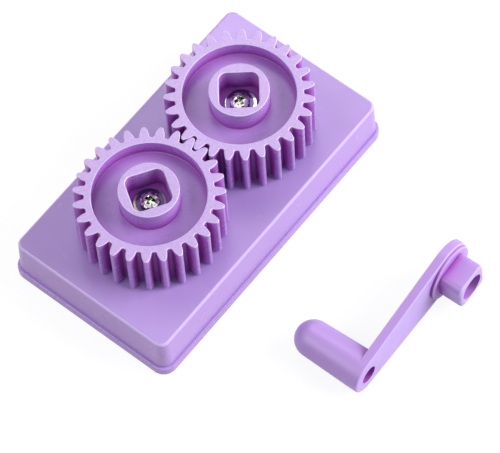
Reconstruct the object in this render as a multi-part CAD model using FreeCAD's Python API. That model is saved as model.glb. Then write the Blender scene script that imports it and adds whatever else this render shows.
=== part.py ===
import FreeCAD
import Part
import math
import os

# Paper crimper: two identical spur gears turn on posts of a moulded base, and a loose crank
# plugs into the square socket of either one. Millimetres, +Z up. The origin is the middle of
# the base's underside, and +X runs along the base through both gear posts.

# Base shell: a moulded box, open below, with sides that lean in for draft.
shell_length = 102.2
shell_width = 56.7
shell_corner_radius = 3.4
side_draft = 0.6
deck_height = 16.4
deck_thickness = 2.5
deck_edge_radius = 1.0
wall = 2.2
least_inner_corner = 0.5
seam_chamfer = 0.3
rib_thickness = 1.4

# Bottom plate, proud of the shell all round, with a tongue that locates the shell.
plate_thickness = 3.2
lip_proud = 0.9
lip_edge_radius = 0.6
foot_chamfer = 0.4
tongue_height = 1.6
tongue_thickness = 1.4
tongue_clearance = 0.2

# Four screws that hold the plate to corner bosses of the shell.
plate_screw_radius = 1.3
plate_screw_length = 8.0
plate_screw_head_radius = 2.4
plate_screw_head_height = 1.6
plate_screw_head_rim = 1.0
plate_screw_recess_depth = 1.8
screw_hole_clearance = 0.2
screw_head_clearance = 0.3
corner_boss_radius = 3.2
corner_boss_gap = 0.4
pilot_extra_depth = 1.0
thread_clearance = 0.05

# Gears: involute teeth with a positive profile shift, so they are stout at the root.
tooth_count = 27
gear_module = 1.5
pressure_angle = math.radians(20)
profile_shift = 0.2
addendum_ratio = 1.0
dedendum_ratio = 1.25
tip_rounding = 0.3
root_rounding = 0.28
face_width = 17.6
tooth_edge_chamfer = 0.2
rim_thickness = 1.95
hub_radius = 8.9
hub_stand = 2.5
hub_edge_radius = 0.3
web_drop = 5.3
web_thickness = 2.5
web_corner_radius = 0.3
rim_edge_radius = 0.25
lower_hub_radius = 6.3
nip_spread = 0.9
left_gear_turn = math.radians(56.9)

# Drive socket in each hub, and the plug of the crank that fits it.
socket_across_flats = 11.75
socket_corner_radius = 2.4
socket_depth = 8.5
mouth_chamfer = 0.25
plug_clearance = 0.25

# Gear posts, with the screw and washer that keep each gear on.
post_radius = 3.5
post_running_clearance = 0.08
pad_height = 0.5
gear_end_play = 0.2
post_boss_radius = 5.0
post_boss_floor = 2.5
gear_screw_radius = 1.45
gear_screw_length = 16.0
gear_screw_head_radius = 3.0
gear_screw_head_height = 2.2
gear_screw_head_rim = 1.3
left_screw_turn = math.radians(20)
right_screw_turn = math.radians(65)
screw_tip_length = 1.5
washer_overlap = 1.02
washer_bore_clearance = 0.3
washer_near_gap = 0.05
washer_thickness = 0.6
right_washer_side = math.radians(-50)

# Rounded shoulder and cross recess of every screw, as shares of its head.
head_shoulder_share = 0.15
recess_span_share = 0.66
recess_slot_share = 0.18
recess_depth_share = 0.6
recess_taper = 0.45

# Crank: a flat arm with a grip on one face and the plug on the other, moulded in one piece.
arm_length = 39.0
arm_thickness = 3.0
arm_past_collar = 0.6
arm_edge_radius = 0.5
grip_length = 22.4
grip_root_radius = 6.15
grip_draft = math.radians(1.5)
grip_core_radius = 2.9
grip_core_floor = 5.0
collar_inside_hub = 0.05
collar_thickness = 1.0
plug_washer_gap = 0.2
plug_end_radius = 0.7
collar_edge_radius = 0.3
plug_screw_clearance = 1.2
plug_floor = 0.5

# Where the crank lies on the bench: the middle of the grip's core mouth and its heading.
crank_rest_x = -17.3
crank_rest_y = -76.3
crank_heading = math.radians(1.2)

# Two heights or radii closer than this count as the same.
same = 1e-6

# Sizes that follow from the ones above.
z_axis = FreeCAD.Vector(0, 0, 1)
plate_length = shell_length + 2 * lip_proud
plate_width = shell_width + 2 * lip_proud
plate_corner_radius = shell_corner_radius + lip_proud
deck_underside = deck_height - deck_thickness
pitch_radius = gear_module * tooth_count / 2
tip_radius = pitch_radius + (addendum_ratio + profile_shift) * gear_module
root_radius = pitch_radius - (dedendum_ratio - profile_shift) * gear_module
tooth_pitch = 2 * math.pi / tooth_count
centre_distance = 2 * pitch_radius + nip_spread
gear_bottom = deck_height + pad_height
hub_top = face_width + hub_stand
web_top = face_width - web_drop
socket_floor = hub_top - socket_depth
rim_inner_radius = root_radius - rim_thickness
bearing_radius = post_radius + post_running_clearance
post_top = gear_bottom + socket_floor + gear_end_play
washer_radius = bearing_radius + washer_overlap
washer_bore_radius = gear_screw_radius + washer_bore_clearance
washer_shift = washer_bore_clearance - washer_near_gap
washer_top = post_top + washer_thickness
gear_pilot_radius = gear_screw_radius + thread_clearance
gear_pilot_bottom = washer_top - gear_screw_length - pilot_extra_depth
post_boss_bottom = gear_pilot_bottom - post_boss_floor
plate_pilot_radius = plate_screw_radius + thread_clearance
corner_boss_inset = (wall + tongue_clearance + tongue_thickness + corner_boss_gap
                     + corner_boss_radius)
corner_boss_x = shell_length / 2 - corner_boss_inset
corner_boss_y = shell_width / 2 - corner_boss_inset
left_x = -centre_distance / 2
right_x = centre_distance / 2
right_gear_turn = math.pi - left_gear_turn + tooth_pitch / 2
left_washer_side = right_washer_side + math.pi
collar_radius = hub_radius - collar_inside_hub
arm_plug_end_radius = collar_radius + arm_past_collar
arm_lean = math.asin((arm_plug_end_radius - grip_root_radius) / arm_length)
plug_bore_radius = gear_screw_head_radius + plug_screw_clearance
plug_length = (collar_thickness + socket_depth - gear_end_play - washer_thickness
               - plug_washer_gap)
plug_across_flats = socket_across_flats - 2 * plug_clearance
plug_corner_radius = socket_corner_radius - plug_clearance


def vector(x, y, z=0.0):
    return FreeCAD.Vector(x, y, z)


def cylinder(radius, bottom, top, x=0.0, y=0.0):
    return Part.makeCylinder(radius, top - bottom, vector(x, y, bottom))


def polar(radius, angle, z=0.0):
    return vector(radius * math.cos(angle), radius * math.sin(angle), z)


def rounded_rectangle(length, width, radius, z):
    """Closed wire, centred on the Z axis: an arc at each corner and the side after it."""
    x = length / 2 - radius
    y = width / 2 - radius
    arcs = []
    for i, (cx, cy) in enumerate([(x, y), (-x, y), (-x, -y), (x, -y)]):
        angles = [i * math.pi / 2, (i + 0.5) * math.pi / 2, (i + 1) * math.pi / 2]
        arcs.append([vector(cx, cy, z) + polar(radius, angle) for angle in angles])
    edges = []
    for arc, following in zip(arcs, arcs[1:] + arcs[:1]):
        edges.append(Part.Arc(*arc).toShape())
        edges.append(Part.LineSegment(arc[-1], following[0]).toShape())
    return Part.Wire(edges)


def rounded_block(length, width, radius, bottom, top):
    face = Part.Face(rounded_rectangle(length, width, radius, bottom))
    return face.extrude(vector(0, 0, top - bottom))


def flare(width, radius, bottom, top):
    """Square frustum that widens upwards at 45 degrees."""
    rise = top - bottom
    wires = [rounded_rectangle(width, width, radius, bottom),
             rounded_rectangle(width + 2 * rise, width + 2 * rise, radius + rise, top)]
    return Part.makeLoft(wires, True, True)


def drafted_block(inset, bottom, top):
    """Block that follows the shell's leaning sides, inset from them all round."""
    wires = []
    for z in (bottom, top):
        lean = inset + side_draft * (z - plate_thickness) / (deck_height - plate_thickness)
        radius = max(shell_corner_radius - lean, least_inner_corner)
        wires.append(rounded_rectangle(shell_length - 2 * lean, shell_width - 2 * lean, radius, z))
    return Part.makeLoft(wires, True, True)


def edges_at_height(shape, z):
    found = []
    for edge in shape.Edges:
        box = edge.BoundBox
        if abs(box.ZMin - z) < same and abs(box.ZMax - z) < same:
            found.append(edge)
    return found


def circles_at(shape, radius, z):
    found = []
    for edge in edges_at_height(shape, z):
        curve = edge.Curve
        if isinstance(curve, Part.Circle) and abs(curve.Radius - radius) < same:
            found.append(edge)
    return found


def corner_places():
    return [(sx * corner_boss_x, sy * corner_boss_y) for sx in (-1, 1) for sy in (-1, 1)]


def shell_ribs():
    """Ribs under the deck: a spine through both posts, and one across at each post."""
    into_wall = wall / 2 + side_draft
    length = shell_length - 2 * into_wall
    width = shell_width - 2 * into_wall
    places = [(0, length, rib_thickness), (left_x, rib_thickness, width),
              (right_x, rib_thickness, width)]
    ribs = []
    for x, along, across in places:
        corner = vector(x - along / 2, -across / 2, post_boss_bottom)
        ribs.append(Part.makeBox(along, across, deck_underside - post_boss_bottom, corner))
    return ribs


def base_shell():
    outer = drafted_block(0, plate_thickness, deck_height)
    outer = outer.makeFillet(deck_edge_radius, edges_at_height(outer, deck_height))
    outer = outer.makeChamfer(seam_chamfer, edges_at_height(outer, plate_thickness))
    cavity = drafted_block(wall, plate_thickness, deck_underside)
    shell = outer.cut(cavity)
    added = shell_ribs()
    for x, y in corner_places():
        added.append(cylinder(corner_boss_radius, plate_thickness, deck_underside, x, y))
    for x in (left_x, right_x):
        added.append(cylinder(post_boss_radius, post_boss_bottom, deck_underside, x))
        added.append(cylinder(lower_hub_radius, deck_underside, gear_bottom, x))
        added.append(cylinder(post_radius, deck_underside, post_top, x))
    shell = shell.multiFuse(added)
    for x, y in corner_places():
        pilot_top = plate_screw_recess_depth + plate_screw_length + pilot_extra_depth
        shell = shell.cut(cylinder(plate_pilot_radius, plate_thickness, pilot_top, x, y))
    for x in (left_x, right_x):
        shell = shell.cut(cylinder(gear_pilot_radius, gear_pilot_bottom, post_top, x))
    return shell.removeSplitter()


def bottom_plate():
    plate = rounded_block(plate_length, plate_width, plate_corner_radius, 0, plate_thickness)
    plate = plate.makeFillet(lip_edge_radius, edges_at_height(plate, plate_thickness))
    plate = plate.makeChamfer(foot_chamfer, edges_at_height(plate, 0))
    tongue_top = plate_thickness + tongue_height
    tongue_outside = wall + tongue_clearance
    tongue_inside = tongue_outside + tongue_thickness
    tongue = drafted_block(tongue_outside, plate_thickness, tongue_top)
    tongue = tongue.cut(drafted_block(tongue_inside, plate_thickness, tongue_top))
    plate = plate.fuse(tongue)
    for x, y in corner_places():
        hole_radius = plate_screw_radius + screw_hole_clearance
        head_radius = plate_screw_head_radius + screw_head_clearance
        plate = plate.cut(cylinder(hole_radius, 0, plate_thickness, x, y))
        plate = plate.cut(cylinder(head_radius, 0, plate_screw_recess_depth, x, y))
    return plate.removeSplitter()


def involute(angle):
    return math.tan(angle) - angle


def half_tooth_angle(radius):
    """Half the angle that a tooth spans at this radius."""
    base_radius = pitch_radius * math.cos(pressure_angle)
    local_angle = math.acos(min(1.0, base_radius / radius))
    widening = 2 * profile_shift * math.tan(pressure_angle) / tooth_count
    return tooth_pitch / 4 + widening + involute(pressure_angle) - involute(local_angle)


def tooth_outline(z, inset=0.0):
    """Wire round all the teeth: flank, rounded tip, flank and rounded root for each."""
    start = root_radius + root_rounding - inset
    end = tip_radius - tip_rounding - inset
    middle = (start + end) / 2
    shrink = inset / pitch_radius
    edges = []
    for i in range(tooth_count):
        centre = i * tooth_pitch
        rise = [polar(r, centre - half_tooth_angle(r) + shrink, z) for r in (start, middle, end)]
        fall = [polar(r, centre + half_tooth_angle(r) - shrink, z) for r in (end, middle, start)]
        tip = polar(tip_radius - inset, centre, z)
        root = polar(root_radius - inset, centre + tooth_pitch / 2, z)
        following = polar(start, centre + tooth_pitch - half_tooth_angle(start) + shrink, z)
        edges.append(Part.Arc(*rise).toShape())
        edges.append(Part.Arc(rise[-1], tip, fall[0]).toShape())
        edges.append(Part.Arc(*fall).toShape())
        edges.append(Part.Arc(fall[-1], root, following).toShape())
    return Part.Wire(edges)


def toothed_blank():
    """Toothed disc with its top and bottom edges broken by a small chamfer."""
    chamfer = tooth_edge_chamfer
    body = Part.Face(tooth_outline(chamfer)).extrude(vector(0, 0, face_width - 2 * chamfer))
    lower = Part.makeLoft([tooth_outline(0, chamfer), tooth_outline(chamfer)], True, True)
    upper = Part.makeLoft([tooth_outline(face_width - chamfer), tooth_outline(face_width, chamfer)],
                          True, True)
    return body.multiFuse([lower, upper])


def web_recess(hub, bottom, top, round_at):
    """Ring-shaped pocket between a hub and the rim, with a rounded floor."""
    ring = cylinder(rim_inner_radius, bottom, top).cut(cylinder(hub, bottom, top))
    floor_edges = circles_at(ring, hub, round_at) + circles_at(ring, rim_inner_radius, round_at)
    return ring.makeFillet(web_corner_radius, floor_edges)


def gear():
    """Gear in its own frame: axis on Z, underside at 0, one tooth and one flat facing +X."""
    hub = cylinder(hub_radius, 0, hub_top)
    hub = hub.makeFillet(hub_edge_radius, circles_at(hub, hub_radius, hub_top))
    web_bottom = web_top - web_thickness
    body = toothed_blank()
    body = body.cut(web_recess(hub_radius, web_top, face_width, web_top))
    rim_edge = circles_at(body, rim_inner_radius, face_width)
    body = body.makeFillet(rim_edge_radius, rim_edge)
    body = body.cut(web_recess(lower_hub_radius, 0, web_bottom, web_bottom))
    body = body.fuse(hub.common(cylinder(hub_radius, web_bottom, hub_top)))
    body = body.cut(rounded_block(socket_across_flats, socket_across_flats, socket_corner_radius,
                                  socket_floor, hub_top))
    body = body.cut(flare(socket_across_flats, socket_corner_radius, hub_top - mouth_chamfer,
                          hub_top))
    body = body.cut(cylinder(bearing_radius, 0, socket_floor))
    return body.removeSplitter()


def placed_gear(x, turn):
    placed = gear()
    placed.rotate(vector(0, 0), z_axis, math.degrees(turn))
    placed.translate(vector(x, 0, gear_bottom))
    return placed


def cross_recess(head_radius, head_height):
    """Tapered cross, mouth at 0 and point downwards."""
    wires = []
    for scale, z in ((1.0, 0), (recess_taper, -head_height * recess_depth_share)):
        span = head_radius * recess_span_share * scale
        slot = head_radius * recess_slot_share * scale
        points = []
        for quarter in range(4):
            turn = FreeCAD.Rotation(z_axis, 90 * quarter)
            points += [turn.multVec(vector(x, y, z)) for x, y in ((span, -slot), (span, slot),
                                                                  (slot, slot))]
        wires.append(Part.makePolygon(points + points[:1]))
    return Part.makeLoft(wires, True, True)


def pan_screw(shank_radius, length, head_radius, head_height, head_rim):
    """Pan-head screw pointing down, with the underside of its head at 0."""
    shoulder = vector(head_radius, 0, head_rim)
    crown = vector(0, 0, head_height)
    rise = head_height - head_rim
    dome_radius = (head_radius ** 2 + rise ** 2) / (2 * rise)
    share = math.asin(head_radius / dome_radius) / 2
    halfway = vector(dome_radius * math.sin(share), 0,
                     head_height - dome_radius * (1 - math.cos(share)))
    outline = [vector(0, 0, -length), vector(shank_radius, 0, screw_tip_length - length),
               vector(shank_radius, 0, 0), vector(head_radius, 0, 0), shoulder]
    edges = [Part.LineSegment(a, b).toShape() for a, b in zip(outline, outline[1:])]
    edges.append(Part.Arc(shoulder, halfway, crown).toShape())
    edges.append(Part.LineSegment(crown, outline[0]).toShape())
    screw = Part.Face(Part.Wire(edges)).revolve(vector(0, 0), z_axis, 360)
    screw = screw.makeFillet(head_radius * head_shoulder_share,
                             circles_at(screw, head_radius, head_rim))
    recess = cross_recess(head_radius, head_height)
    recess.translate(crown)
    return screw.cut(recess)


def gear_screw(x, turn):
    screw = pan_screw(gear_screw_radius, gear_screw_length, gear_screw_head_radius,
                      gear_screw_head_height, gear_screw_head_rim)
    screw.rotate(vector(0, 0), z_axis, math.degrees(turn))
    screw.translate(vector(x, 0, washer_top))
    return screw


def gear_washer(x, side):
    washer = cylinder(washer_radius, post_top, washer_top)
    washer = washer.cut(cylinder(washer_bore_radius, post_top, washer_top))
    washer.translate(vector(x, 0) + polar(washer_shift, side))
    return washer


def bottom_plate_screws():
    screws = []
    for x, y in corner_places():
        screw = pan_screw(plate_screw_radius, plate_screw_length, plate_screw_head_radius,
                          plate_screw_head_height, plate_screw_head_rim)
        screw.rotate(vector(0, 0), vector(1, 0), 180)
        screw.translate(vector(x, y, plate_screw_recess_depth))
        screws.append(screw)
    return Part.makeCompound(screws)


def crank_arm():
    """Flat bar round the plug axis and the grip axis, wider at the plug."""
    side = math.pi / 2 - arm_lean
    plug_end = [polar(arm_plug_end_radius, angle) for angle in (side, math.pi, -side)]
    grip_end = [vector(arm_length, 0) + polar(grip_root_radius, angle)
                for angle in (-side, 0, side)]
    edges = [Part.Arc(*plug_end).toShape(), Part.LineSegment(plug_end[-1], grip_end[0]).toShape(),
             Part.Arc(*grip_end).toShape(), Part.LineSegment(grip_end[-1], plug_end[0]).toShape()]
    arm = Part.Face(Part.Wire(edges)).extrude(vector(0, 0, arm_thickness))
    rims = edges_at_height(arm, 0) + edges_at_height(arm, arm_thickness)
    return arm.makeFillet(arm_edge_radius, rims)


def crank_grip():
    """Tapered grip with a domed end, cored from the arm's outer face."""
    bottom = arm_thickness - arm_edge_radius
    tip = arm_thickness + grip_length
    slope = math.tan(grip_draft)
    dome_radius = (grip_root_radius - (tip - bottom) * slope) / (1 / math.cos(grip_draft) - slope)
    dome_centre = tip - dome_radius
    rim = vector(dome_radius * math.cos(grip_draft), 0,
                 dome_centre + dome_radius * math.sin(grip_draft))
    mid_angle = (math.pi / 2 + grip_draft) / 2
    halfway = vector(dome_radius * math.cos(mid_angle), 0,
                     dome_centre + dome_radius * math.sin(mid_angle))
    crown = vector(0, 0, tip)
    root = vector(grip_root_radius, 0, bottom)
    foot = vector(0, 0, bottom)
    edges = [Part.LineSegment(foot, root).toShape(), Part.LineSegment(root, rim).toShape(),
             Part.Arc(rim, halfway, crown).toShape(), Part.LineSegment(crown, foot).toShape()]
    grip = Part.Face(Part.Wire(edges)).revolve(vector(0, 0), z_axis, 360)
    grip.translate(vector(arm_length, 0))
    return grip


def crank_plug():
    """Collar and square plug below the arm."""
    collar = cylinder(collar_radius, -collar_thickness, 0)
    collar = collar.makeFillet(collar_edge_radius, edges_at_height(collar, -collar_thickness))
    plug = rounded_block(plug_across_flats, plug_across_flats, plug_corner_radius, -plug_length, 0)
    plug = plug.makeFillet(plug_end_radius, edges_at_height(plug, -plug_length))
    return plug.fuse(collar)


def crank():
    """Crank in its own frame: plug axis on Z pointing down, arm along +X, grip pointing up."""
    body = crank_arm().multiFuse([crank_grip(), crank_plug()])
    body = body.cut(cylinder(plug_bore_radius, -plug_length, -plug_floor))
    core_top = arm_thickness + grip_length - grip_core_floor
    body = body.cut(cylinder(grip_core_radius, 0, core_top, arm_length))
    return body.removeSplitter()


def crank_on_bench():
    """Crank laid on the edge of its arm and the side of its grip."""
    body = crank()
    body.translate(vector(-arm_length, 0))
    body.rotate(vector(0, 0), z_axis, 180 - math.degrees(arm_lean))
    body.rotate(vector(0, 0), vector(1, 0), -90)
    body.rotate(vector(0, 0), vector(1, 0), -math.degrees(grip_draft))
    body.rotate(vector(0, 0), z_axis, math.degrees(crank_heading))
    lowest = body.optimalBoundingBox(False).ZMin
    body.translate(vector(crank_rest_x, crank_rest_y, -lowest))
    return body


pieces = {
    "base_shell": base_shell(),
    "bottom_plate": bottom_plate(),
    "bottom_plate_screws": bottom_plate_screws(),
    "left_gear": placed_gear(left_x, left_gear_turn),
    "right_gear": placed_gear(right_x, right_gear_turn),
    "left_gear_washer": gear_washer(left_x, left_washer_side),
    "right_gear_washer": gear_washer(right_x, right_washer_side),
    "left_gear_screw": gear_screw(left_x, left_screw_turn),
    "right_gear_screw": gear_screw(right_x, right_screw_turn),
    "crank": crank_on_bench(),
}

os.makedirs("parts", exist_ok=True)
for node, shape in pieces.items():
    shape.exportStep("parts/" + node + ".step")
    box = shape.BoundBox
    print(node, len(shape.Solids), shape.isValid(), round(shape.Volume, 1),
          [round(v, 2) for v in (box.XMin, box.YMin, box.ZMin, box.XMax, box.YMax, box.ZMax)])
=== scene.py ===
import math

import bpy
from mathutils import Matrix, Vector


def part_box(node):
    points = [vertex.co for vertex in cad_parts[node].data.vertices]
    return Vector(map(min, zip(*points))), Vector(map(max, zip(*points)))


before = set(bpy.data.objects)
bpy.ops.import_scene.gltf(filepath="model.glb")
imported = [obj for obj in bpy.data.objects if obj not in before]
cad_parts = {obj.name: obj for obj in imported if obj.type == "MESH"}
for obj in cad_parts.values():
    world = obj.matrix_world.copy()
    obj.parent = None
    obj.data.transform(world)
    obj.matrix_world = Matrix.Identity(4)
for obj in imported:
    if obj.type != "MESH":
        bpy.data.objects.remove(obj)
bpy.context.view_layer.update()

mm = 0.001


def hexToLinear(code):
    # sRGB hex to the linear values that shaders take
    channels = [int(code[i:i + 2], 16) / 255 for i in (1, 3, 5)]
    linear = [c / 12.92 if c <= 0.04045 else ((c + 0.055) / 1.055) ** 2.4 for c in channels]
    return tuple(linear) + (1.0,)


def addNode(tree, kind, settings=None, links=None):
    # settings are properties or input values; a link is a socket, or a node for its first one
    node = tree.nodes.new("ShaderNode" + kind)
    for key, value in (settings or {}).items():
        if isinstance(key, str) and hasattr(node, key):
            setattr(node, key, value)
        else:
            node.inputs[key].default_value = value
    for key, source in (links or {}).items():
        socket = source.outputs[0] if isinstance(source, bpy.types.Node) else source
        tree.links.new(socket, node.inputs[key])
    return node


def span(start, end, low=0.0, high=1.0):
    # what a Map Range node is set to: start to end becomes low to high, held at both ends
    return {"From Min": start, "From Max": end, "To Min": low, "To Max": high}


# sockets of a Mix node by number, because their names repeat
mixBy, numberA, numberB, colourA, colourB, colourOut = 0, 2, 3, 6, 7, 2


def newMaterial(name):
    material = bpy.data.materials.new(name)
    material.use_nodes = True
    tree = material.node_tree
    tree.nodes.clear()
    return material, tree


def finishMaterial(tree, shader):
    addNode(tree, "OutputMaterial", links={"Surface": shader})


# ABS, injection moulded in violet. A polished tool leaves an even gloss with a faint
# orange peel; the pigment passes red light best, so narrow gaps get painted shade tinted towards
# magenta.
absBase = dict(
    # the edge colour is a painted highlight, the deep colour a painted shade tint for recesses
    colour="#B395D6", flowColour="#AB8ED0", paintedHighlightColour="#C6B2E6", recessShadeColour="#AE45BE", ior=1.53,
    flowWidth=22 * mm, flowDetail=3.0, flowBend=0.6,
    peelWidth=0.9 * mm, peelDetail=2.0, peelRoughness=0.6,
    peelShare=0.12, peelDepth=0.04 * mm, peelStrength=0.35,
    sinkWidth=9 * mm, sinkDepth=0.06 * mm,
    # hands and dust: roughness goes up and down by the spread, and up again in the corners
    roughness=0.24, roughnessSpread=0.05, handledWidth=7 * mm, handledDetail=5.0,
    handledRoughness=0.65, handledFrom=0.3, handledTo=0.7,
    cornerDust=0.4, dustFrom=0.6, dustTo=0.4,
    # how the tool opens; a face's slant is told from its walls and its level faces
    drawAxis=(0, 0, 1), offWalls=span(0.1, 0.3), offLevel=span(0.97, 0.9),
    # painted highlight on rounded edges: above this height, and on the crank only short of its dome
    edgesAbove=14 * mm, heightBlur=0.1 * mm, domeFrom=None, domeBlur=mm,
    openEdge=span(0.5, 0.8),
    # gaps: how near a neighbour shades, how open a wall or a floor has to be to look lit,
    # and the share of light left where it is shut
    gapReach=2.5 * mm, gapSamples=12, openWall=span(0.52, 1.06), openFloor=span(0.35, 0.75),
    shutShare=0.6, shutTo=0.3,
    # painted shade low down between teeth and in inside corners; a shade of 1 is none
    paintedShadeLevel=1.0, paintedShadeBelow=0.2, paintedShadeFrom=15 * mm, paintedShadeTo=28 * mm, cornerPaintedShade=1.0,
    grainAbove=None)
# The tool's face under rim and hub is spark eroded. Its grain is some 0.05 mm wide, too fine
# to show here, so it is drawn at 0.42 mm. Its lighter tone on the tops is partly painted sheen.
absGear = dict(
    absBase, paintedHighlightColour="#DCCDF2", roughness=0.27, sinkDepth=0.03 * mm, gapReach=7 * mm,
    paintedShadeLevel=0.45, cornerPaintedShade=0.45, edgesAbove=33.5 * mm,
    grainAbove=33.5 * mm, grainLevel=span(0.9, 0.98), grainSheenColour="#C1A5DE",
    grainWidth=0.42 * mm, grainPit=span(0.1, 0.7, 1.0, 0.82))
absCrank = dict(
    absBase, colour="#B79ADA", paintedHighlightColour="#C3ABE2", roughness=0.36, sinkWidth=5 * mm,
    sinkDepth=0.08 * mm, gapReach=6 * mm, shutShare=0.75,
    drawAxis=(0.0209, -0.9994, 0.0262), domeFrom=-57.5 * mm, edgesAbove=-mm)


def mouldedAbs(name, look):
    material, tree = newMaterial(name)
    place = addNode(tree, "TexCoord").outputs["Object"]
    along = addNode(tree, "SeparateXYZ", links={0: place})
    shape = addNode(tree, "NewGeometry")
    facing = addNode(tree, "VectorMath", {"operation": "DOT_PRODUCT", 1: look["drawAxis"]},
                     {0: shape.outputs["Normal"]})
    level = addNode(tree, "Math", {"operation": "ABSOLUTE"}, {0: facing.outputs["Value"]})
    openness = addNode(tree, "AmbientOcclusion",
                       {"samples": look["gapSamples"], "only_local": True,
                        "Distance": look["gapReach"]}).outputs["AO"]

    # pigment flow: broad cloudy streaks left as the melt fills the tool
    flow = addNode(tree, "TexNoise",
                   {"Scale": 1 / look["flowWidth"], "Detail": look["flowDetail"],
                    "Distortion": look["flowBend"]}, {"Vector": place})
    body = addNode(tree, "Mix",
                   {"data_type": "RGBA", colourA: hexToLinear(look["colour"]),
                    colourB: hexToLinear(look["flowColour"])}, {mixBy: flow.outputs["Fac"]})
    colour = body.outputs[colourOut]

    # peel, and on rim and hub the grain of a spark-eroded face of the tool
    peel = addNode(tree, "TexNoise",
                   {"Scale": 1 / look["peelWidth"], "Detail": look["peelDetail"],
                    "Roughness": look["peelRoughness"]}, {"Vector": place})
    height = addNode(tree, "MapRange", span(0, 1, high=look["peelShare"]),
                     {"Value": peel.outputs["Fac"]})
    if look["grainAbove"] is not None:
        height, colour = grainedTop(tree, look, place, along, level, height, colour)

    # rounded edges get a painted highlight: their faces slant to the way the tool opens
    offWalls = addNode(tree, "MapRange", look["offWalls"], {"Value": level})
    offLevel = addNode(tree, "MapRange", look["offLevel"], {"Value": level})
    slant = addNode(tree, "Math", {"operation": "MULTIPLY"}, {0: offWalls, 1: offLevel})
    low = addNode(tree, "MapRange", span(look["edgesAbove"], look["edgesAbove"] - look["heightBlur"]),
                  {"Value": along.outputs["Z"]})
    high = addNode(tree, "MapRange", span(1, 0), {"Value": low})
    edgeInOpen = addNode(tree, "MapRange", look["openEdge"], {"Value": openness})
    edgeHighlight = addNode(tree, "Math", {"operation": "MULTIPLY"}, {0: slant, 1: edgeInOpen})
    edgeHighlight = addNode(tree, "Math", {"operation": "MULTIPLY"}, {0: edgeHighlight, 1: high})
    if look["domeFrom"] is not None:
        dome = addNode(tree, "MapRange", span(look["domeFrom"] + look["domeBlur"], look["domeFrom"]),
                       {"Value": along.outputs["Y"]})
        edgeHighlight = addNode(tree, "Math", {"operation": "MULTIPLY"}, {0: edgeHighlight, 1: dome})
    highlighted = addNode(tree, "Mix",
                    {"data_type": "RGBA", colourB: hexToLinear(look["paintedHighlightColour"])},
                    {mixBy: edgeHighlight, colourA: colour})

    # painted shade and bounce light: walls of a recess are painted darker and towards magenta, as if
    # lit only by light that the violet round them has passed on
    openWall = addNode(tree, "MapRange", look["openWall"], {"Value": openness})
    openFloor = addNode(tree, "MapRange", look["openFloor"], {"Value": openness})
    clear = addNode(tree, "Mix", {"data_type": "FLOAT"},
                    {mixBy: level, numberA: openWall, numberB: openFloor})
    recessTinted = addNode(tree, "Mix",
                   {"data_type": "RGBA", colourA: hexToLinear(look["recessShadeColour"])},
                   {mixBy: clear, colourB: highlighted.outputs[colourOut]})
    lit = addNode(tree, "MapRange", span(0, look["shutTo"], look["shutShare"]), {"Value": clear})

    # painted shade in the inside corners, and low down between the teeth
    shutIn = addNode(tree, "MapRange", span(look["paintedShadeBelow"], 0), {"Value": clear})
    lowDown = addNode(tree, "MapRange", span(look["paintedShadeTo"], look["paintedShadeFrom"]),
                      {"Value": along.outputs["Z"]})
    between = addNode(tree, "Math", {"operation": "MULTIPLY"}, {0: shutIn, 1: lowDown})
    inside = addNode(tree, "Math", {"operation": "MULTIPLY"}, {0: slant, 1: low})
    corners = addNode(tree, "MapRange", span(0, 1, high=look["cornerPaintedShade"]), {"Value": inside})
    paintedShadeMask = addNode(tree, "Math", {"operation": "MAXIMUM"}, {0: corners, 1: between})
    unshaded = addNode(tree, "MapRange", span(0, 1, 1, look["paintedShadeLevel"]), {"Value": paintedShadeMask})
    share = addNode(tree, "Math", {"operation": "MULTIPLY"}, {0: lit, 1: unshaded})
    shadedColour = addNode(tree, "VectorMath", {"operation": "SCALE"},
                   {0: recessTinted.outputs[colourOut], "Scale": share})

    # handling: duller and shinier patches, dust in the corners, over shallow sink marks
    handled = addNode(tree, "TexNoise",
                      {"Scale": 1 / look["handledWidth"], "Detail": look["handledDetail"],
                       "Roughness": look["handledRoughness"]}, {"Vector": place})
    gloss = addNode(tree, "MapRange",
                    span(look["handledFrom"], look["handledTo"],
                         look["roughness"] - look["roughnessSpread"],
                         look["roughness"] + look["roughnessSpread"]),
                    {"Value": handled.outputs["Fac"]})
    dust = addNode(tree, "MapRange",
                   span(look["dustFrom"], look["dustTo"], high=look["cornerDust"]),
                   {"Value": openness})
    dusty = addNode(tree, "Math", {"operation": "ADD"}, {0: gloss, 1: dust})
    sink = addNode(tree, "TexNoise", {"Scale": 1 / look["sinkWidth"], "Detail": 0.0},
                   {"Vector": place})
    sunk = addNode(tree, "Bump", {"Strength": 1.0, "Distance": look["sinkDepth"]},
                   {"Height": sink.outputs["Fac"]})
    bump = addNode(tree, "Bump", {"Strength": look["peelStrength"], "Distance": look["peelDepth"]},
                   {"Height": height, "Normal": sunk})
    shader = addNode(tree, "BsdfPrincipled", {"IOR": look["ior"]},
                     {"Base Color": shadedColour, "Roughness": dusty, "Normal": bump})
    finishMaterial(tree, shader)
    return material


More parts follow.
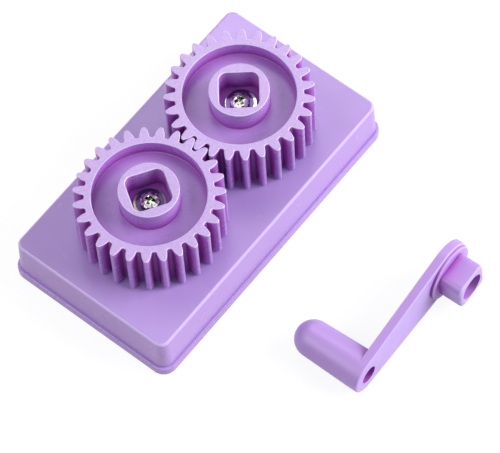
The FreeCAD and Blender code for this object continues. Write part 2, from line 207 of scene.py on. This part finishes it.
def grainedTop(tree, look, place, along, level, height, colour):
    # the level faces above a height take the grain in relief, and in a lighter tone that is partly
    # painted sheen
    high = addNode(tree, "MapRange",
                   span(look["grainAbove"], look["grainAbove"] + look["heightBlur"]),
                   {"Value": along.outputs["Z"]})
    flat = addNode(tree, "MapRange", look["grainLevel"], {"Value": level})
    share = addNode(tree, "Math", {"operation": "MULTIPLY"}, {0: high, 1: flat})
    grain = addNode(tree, "TexVoronoi", {"Scale": 1 / look["grainWidth"], "Randomness": 1.0},
                    {"Vector": place})
    rough = addNode(tree, "Mix", {"data_type": "FLOAT"},
                    {mixBy: share, numberA: height, numberB: grain.outputs["Distance"]})
    pit = addNode(tree, "MapRange", look["grainPit"], {"Value": grain.outputs["Distance"]})
    pitted = addNode(tree, "VectorMath",
                     {"operation": "SCALE", 0: hexToLinear(look["grainSheenColour"])[:3]},
                     {"Scale": pit})
    top = addNode(tree, "Mix", {"data_type": "RGBA"},
                  {mixBy: share, colourA: colour, colourB: pitted})
    return rough, top.outputs[colourOut]


# Steel, zinc plated bright. A pan head is struck cold and its recess punched, so its face
# is uneven and throws back white and black side by side; its low spots get painted shade.
# The dents are some 0.2 mm wide, too fine to show here, so they are drawn at 0.95 mm.
zincScrew = dict(
    colour="#F4F4F0", greyColour="#8E9484", paintedDarkColour="#262A26",
    facetWidth=0.95 * mm, facetDepth=0.3 * mm, facetStrength=0.6,
    plated=span(0.3, 0.55),  # how many facets are bright rather than grey
    # painted shade: how near a neighbour darkens the face, and how open it must be to stay unshaded
    gapReach=0.8 * mm, gapSamples=8, unshadedGap=span(0.3, 0.75),
    roughness=0.14, polishLow=0.6, polishHigh=1.5)


def struckZinc(name, look):
    material, tree = newMaterial(name)
    place = addNode(tree, "TexCoord").outputs["Object"]
    facet = addNode(tree, "TexVoronoi", {"Scale": 1 / look["facetWidth"], "Randomness": 1.0},
                    {"Vector": place})
    chance = addNode(tree, "SeparateXYZ", links={0: facet.outputs["Color"]})
    gap = addNode(tree, "AmbientOcclusion",
                  {"samples": look["gapSamples"], "Distance": look["gapReach"]})
    bright = addNode(tree, "MapRange", look["plated"], {"Value": chance.outputs["X"]})
    plated = addNode(tree, "Mix",
                     {"data_type": "RGBA", colourA: hexToLinear(look["greyColour"]),
                      colourB: hexToLinear(look["colour"])}, {mixBy: bright})
    # painted shade: the recess and other low spots are darkened towards the dark colour
    unshaded = addNode(tree, "MapRange", look["unshadedGap"], {"Value": gap.outputs["AO"]})
    tone = addNode(tree, "Mix",
                   {"data_type": "RGBA", colourA: hexToLinear(look["paintedDarkColour"])},
                   {mixBy: unshaded, colourB: plated.outputs[colourOut]})
    bump = addNode(tree, "Bump",
                   {"Strength": look["facetStrength"], "Distance": look["facetDepth"]},
                   {"Height": facet.outputs["Distance"]})
    polish = addNode(tree, "MapRange",
                     span(0, 1, look["roughness"] * look["polishLow"],
                          look["roughness"] * look["polishHigh"]),
                     {"Value": chance.outputs["Y"]})
    shader = addNode(tree, "BsdfPrincipled", {"Metallic": 1.0},
                     {"Base Color": tone.outputs[colourOut], "Roughness": polish, "Normal": bump})
    finishMaterial(tree, shader)
    return material


# Painted reflection: a band along one side of each washer and a thin line round two sides of
# its rim are painted bright as the lamps mirrored, the rest dark violet as the gear mirrored.
# The scuffs are some 0.05 mm wide, too fine to show here, so they are drawn at 0.5 mm.
zincWasher = dict(
    # painted reflection: the dark colour stands for the violet gear mirrored in the plating
    paintedDarkColour="#54446A", reflectionBandWidth=0.68 * mm, reflectionBandSpan=span(0.6, 0.8),
    rimWidth=0.06 * mm, rimSpan=span(0.45, 0.8), widthBlur=0.1 * mm,
    scuffWidth=0.5 * mm, scuffDetail=2.0, scuffShift=0.25, scuffDepth=0.02 * mm, scuffStrength=0.2,
    roughness=0.12, polishFrom=0.3, polishTo=0.7, polishLow=0.6, polishHigh=1.6)
# brightSide is the azimuth of the side painted with the reflection of the lamps, in degrees
leftWasher = dict(zincWasher, node="left_gear_washer", colour="#B4A688", reflectionBandWidth=0.5 * mm,
                  brightSide=140)
rightWasher = dict(zincWasher, node="right_gear_washer", colour="#E4E6DE", brightSide=-50)


def paintedReflectionZinc(name, look):
    lowest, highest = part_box(look["node"])
    centre = (lowest + highest) / 2
    washerRadius = (highest.x - lowest.x) / 2
    material, tree = newMaterial(name)
    place = addNode(tree, "TexCoord").outputs["Object"]
    out = addNode(tree, "VectorMath", {"operation": "SUBTRACT", 1: tuple(centre)}, {0: place})
    flat = addNode(tree, "VectorMath", {"operation": "MULTIPLY", 1: (1, 1, 0)}, {0: out})
    radius = addNode(tree, "VectorMath", {"operation": "LENGTH"}, {0: flat}).outputs["Value"]
    heading = addNode(tree, "VectorMath", {"operation": "NORMALIZE"}, {0: flat})
    side = math.radians(look["brightSide"])
    towards = addNode(tree, "VectorMath",
                      {"operation": "DOT_PRODUCT", 1: (math.cos(side), math.sin(side), 0)},
                      {0: heading}).outputs["Value"]
    scuff = addNode(tree, "TexNoise",
                    {"Scale": 1 / look["scuffWidth"], "Detail": look["scuffDetail"]},
                    {"Vector": place}).outputs["Fac"]
    shift = addNode(tree, "MapRange", span(0, 1, -look["scuffShift"], look["scuffShift"]),
                    {"Value": scuff})
    uneven = addNode(tree, "Math", {"operation": "ADD"}, {0: towards, 1: shift})

    # painted reflection: a bright band on the side towards the lamps, and a thin painted highlight
    # round two sides of the rim
    reflectionSide = addNode(tree, "MapRange", look["reflectionBandSpan"], {"Value": uneven})
    bandFrom = washerRadius - look["reflectionBandWidth"]
    band = addNode(tree, "MapRange", span(bandFrom - look["widthBlur"], bandFrom), {"Value": radius})
    reflectionBand = addNode(tree, "Math", {"operation": "MULTIPLY"}, {0: reflectionSide, 1: band})
    sideways = addNode(tree, "Math", {"operation": "ABSOLUTE"}, {0: towards})
    rimSides = addNode(tree, "MapRange", look["rimSpan"], {"Value": sideways})
    rimFrom = washerRadius - look["rimWidth"]
    line = addNode(tree, "MapRange", span(rimFrom - look["widthBlur"], rimFrom), {"Value": radius})
    rim = addNode(tree, "Math", {"operation": "MULTIPLY"}, {0: rimSides, 1: line})
    bright = addNode(tree, "Math", {"operation": "MAXIMUM"}, {0: reflectionBand, 1: rim})
    tone = addNode(tree, "Mix",
                   {"data_type": "RGBA", colourA: hexToLinear(look["paintedDarkColour"]),
                    colourB: hexToLinear(look["colour"])}, {mixBy: bright})
    polish = addNode(tree, "MapRange",
                     span(look["polishFrom"], look["polishTo"],
                          look["roughness"] * look["polishLow"],
                          look["roughness"] * look["polishHigh"]), {"Value": scuff})
    bump = addNode(tree, "Bump", {"Strength": look["scuffStrength"], "Distance": look["scuffDepth"]},
                   {"Height": scuff})
    shader = addNode(tree, "BsdfPrincipled", {"Metallic": 1.0},
                     {"Base Color": tone.outputs[colourOut], "Roughness": polish, "Normal": bump})
    finishMaterial(tree, shader)
    return material


def dress(nodeName, material):
    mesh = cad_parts[nodeName].data
    mesh.materials.clear()
    mesh.materials.append(material)


print("stage: materials")
baseAbs = mouldedAbs("violetAbsMouldedBase", absBase)
gearAbs = mouldedAbs("violetAbsMouldedGear", absGear)
crankAbs = mouldedAbs("violetAbsMouldedCrank", absCrank)
screwZinc = struckZinc("zincPlatedScrewSteel", zincScrew)
leftWasherZinc = paintedReflectionZinc("zincPlatedLeftWasherSteel", leftWasher)
rightWasherZinc = paintedReflectionZinc("zincPlatedRightWasherSteel", rightWasher)
for nodeName, material in {
        "base_shell": baseAbs, "bottom_plate": baseAbs, "bottom_plate_screws": screwZinc,
        "left_gear": gearAbs, "right_gear": gearAbs, "crank": crankAbs,
        "left_gear_washer": leftWasherZinc, "right_gear_washer": rightWasherZinc,
        "left_gear_screw": screwZinc, "right_gear_screw": screwZinc}.items():
    dress(nodeName, material)

print("stage: floor")
# Matt white paper. seen is what the camera meets, mirrored what gloss throws back, and
# colour what lights the object from below; glow is light of its own.
studioFloor = dict(size=3.0, drop=0.05 * mm, colour="#C0BCC4",
                   seen=dict(glow=0.86, diffuse=0.18), mirrored=dict(glow=0.35, diffuse=0.6))


def straightRays(tree):
    # 1 where the eye meets the background itself, or sees it in gloss or through glass
    path = addNode(tree, "LightPath")
    direct = addNode(tree, "Math", {"operation": "MAXIMUM"},
                     {0: path.outputs["Is Camera Ray"], 1: path.outputs["Is Glossy Ray"]})
    return addNode(tree, "Math", {"operation": "MAXIMUM"},
                   {0: direct, 1: path.outputs["Is Transmission Ray"]})


def whitePaper(tree, look):
    # white in the open; the diffuse share is what a shadow can take away
    glow = addNode(tree, "Emission", {"Color": (1, 1, 1, 1), "Strength": look["glow"]})
    lit = addNode(tree, "BsdfDiffuse", {"Color": (look["diffuse"],) * 3 + (1,)})
    return addNode(tree, "AddShader", links={0: glow, 1: lit})


def makeFloor(look):
    bpy.ops.mesh.primitive_plane_add(size=look["size"], location=(0, 0, -look["drop"]))
    floor = bpy.context.object
    floor.name = "studioFloor"
    material, tree = newMaterial("palePaperSweep")
    path = addNode(tree, "LightPath")
    paper = addNode(tree, "BsdfDiffuse", {"Color": hexToLinear(look["colour"])})
    white = addNode(tree, "MixShader",
                    links={0: path.outputs["Is Camera Ray"], 1: whitePaper(tree, look["mirrored"]),
                           2: whitePaper(tree, look["seen"])})
    mixed = addNode(tree, "MixShader", links={0: straightRays(tree), 1: paper, 2: white})
    finishMaterial(tree, mixed)
    floor.data.materials.append(material)


makeFloor(studioFloor)

print("stage: light and camera")
# A lamp stands at an azimuth and an elevation from the object and looks at it. Gloss mirrors
# only a small part of the key and back light, so level faces don't glare in low views.
softbox = dict(distance=1.1, mirrored=True)
keyLight = dict(softbox, azimuth=-52, elevation=29, size=0.8)
backLight = dict(softbox, azimuth=103, elevation=30, size=0.5)
lamps = {
    "keySoftbox": dict(keyLight, power=14.0, mirrored=False),
    "keyHighlight": dict(keyLight, power=4.4),
    "backSoftbox": dict(backLight, power=1.9, mirrored=False),
    "backHighlight": dict(backLight, power=1.0),
    "leftSoftbox": dict(softbox, azimuth=154, elevation=42, size=0.7, power=4.3),
    "topSoftbox": dict(softbox, azimuth=42, elevation=51, size=0.36, power=1.5)}


def makeLamp(name, look):
    lamp = bpy.data.lights.new(name, "AREA")
    lamp.size = look["size"]
    lamp.energy = look["power"]
    stand = bpy.data.objects.new(name, lamp)
    bpy.context.collection.objects.link(stand)
    azimuth, elevation = math.radians(look["azimuth"]), math.radians(look["elevation"])
    towards = Vector((math.cos(azimuth) * math.cos(elevation),
                      math.sin(azimuth) * math.cos(elevation), math.sin(elevation)))
    stand.location = towards * look["distance"]
    stand.rotation_euler = towards.to_track_quat("Z", "Y").to_euler()
    stand.visible_camera = False
    stand.visible_glossy = look["mirrored"]


for lampName, lampLook in lamps.items():
    makeLamp(lampName, lampLook)

# ambient lights the object; white is what the camera, gloss and glass see behind it
room = dict(ambient="#F2F0F5", ambientStrength=0.30, seenStrength=1.0)


def makeWorld(look):
    world = bpy.data.worlds.new("whiteStudio")
    bpy.context.scene.world = world
    world.use_nodes = True
    tree = world.node_tree
    tree.nodes.clear()
    fill = addNode(tree, "Background",
                   {"Color": hexToLinear(look["ambient"]), "Strength": look["ambientStrength"]})
    white = addNode(tree, "Background", {"Color": (1, 1, 1, 1), "Strength": look["seenStrength"]})
    mixed = addNode(tree, "MixShader", links={0: straightRays(tree), 1: fill, 2: white})
    addNode(tree, "OutputWorld", links={"Surface": mixed})


makeWorld(room)

# stands at place and looks at aim, both in millimetres
viewpoint = dict(place=(-314.07, -302.65, 808.14), aim=(-3.84, -22.56, 15.0), roll=-4.17,
                 lens=222.2, sensor=36.0)


def makeCamera(look):
    data = bpy.data.cameras.new("productCamera")
    camera = bpy.data.objects.new("productCamera", data)
    bpy.context.collection.objects.link(camera)
    place = Vector(look["place"]) * mm
    ahead = Vector(look["aim"]) * mm - place
    camera.location = place
    camera.rotation_euler = ahead.to_track_quat("-Z", "Y").to_euler()
    camera.rotation_euler.rotate_axis("Z", math.radians(look["roll"]))
    data.lens = look["lens"]
    data.sensor_width = look["sensor"]
    data.sensor_fit = "HORIZONTAL"
    data.dof.use_dof = False
    bpy.context.scene.camera = camera


makeCamera(viewpoint)
bpy.context.scene.view_settings.view_transform = "Standard"
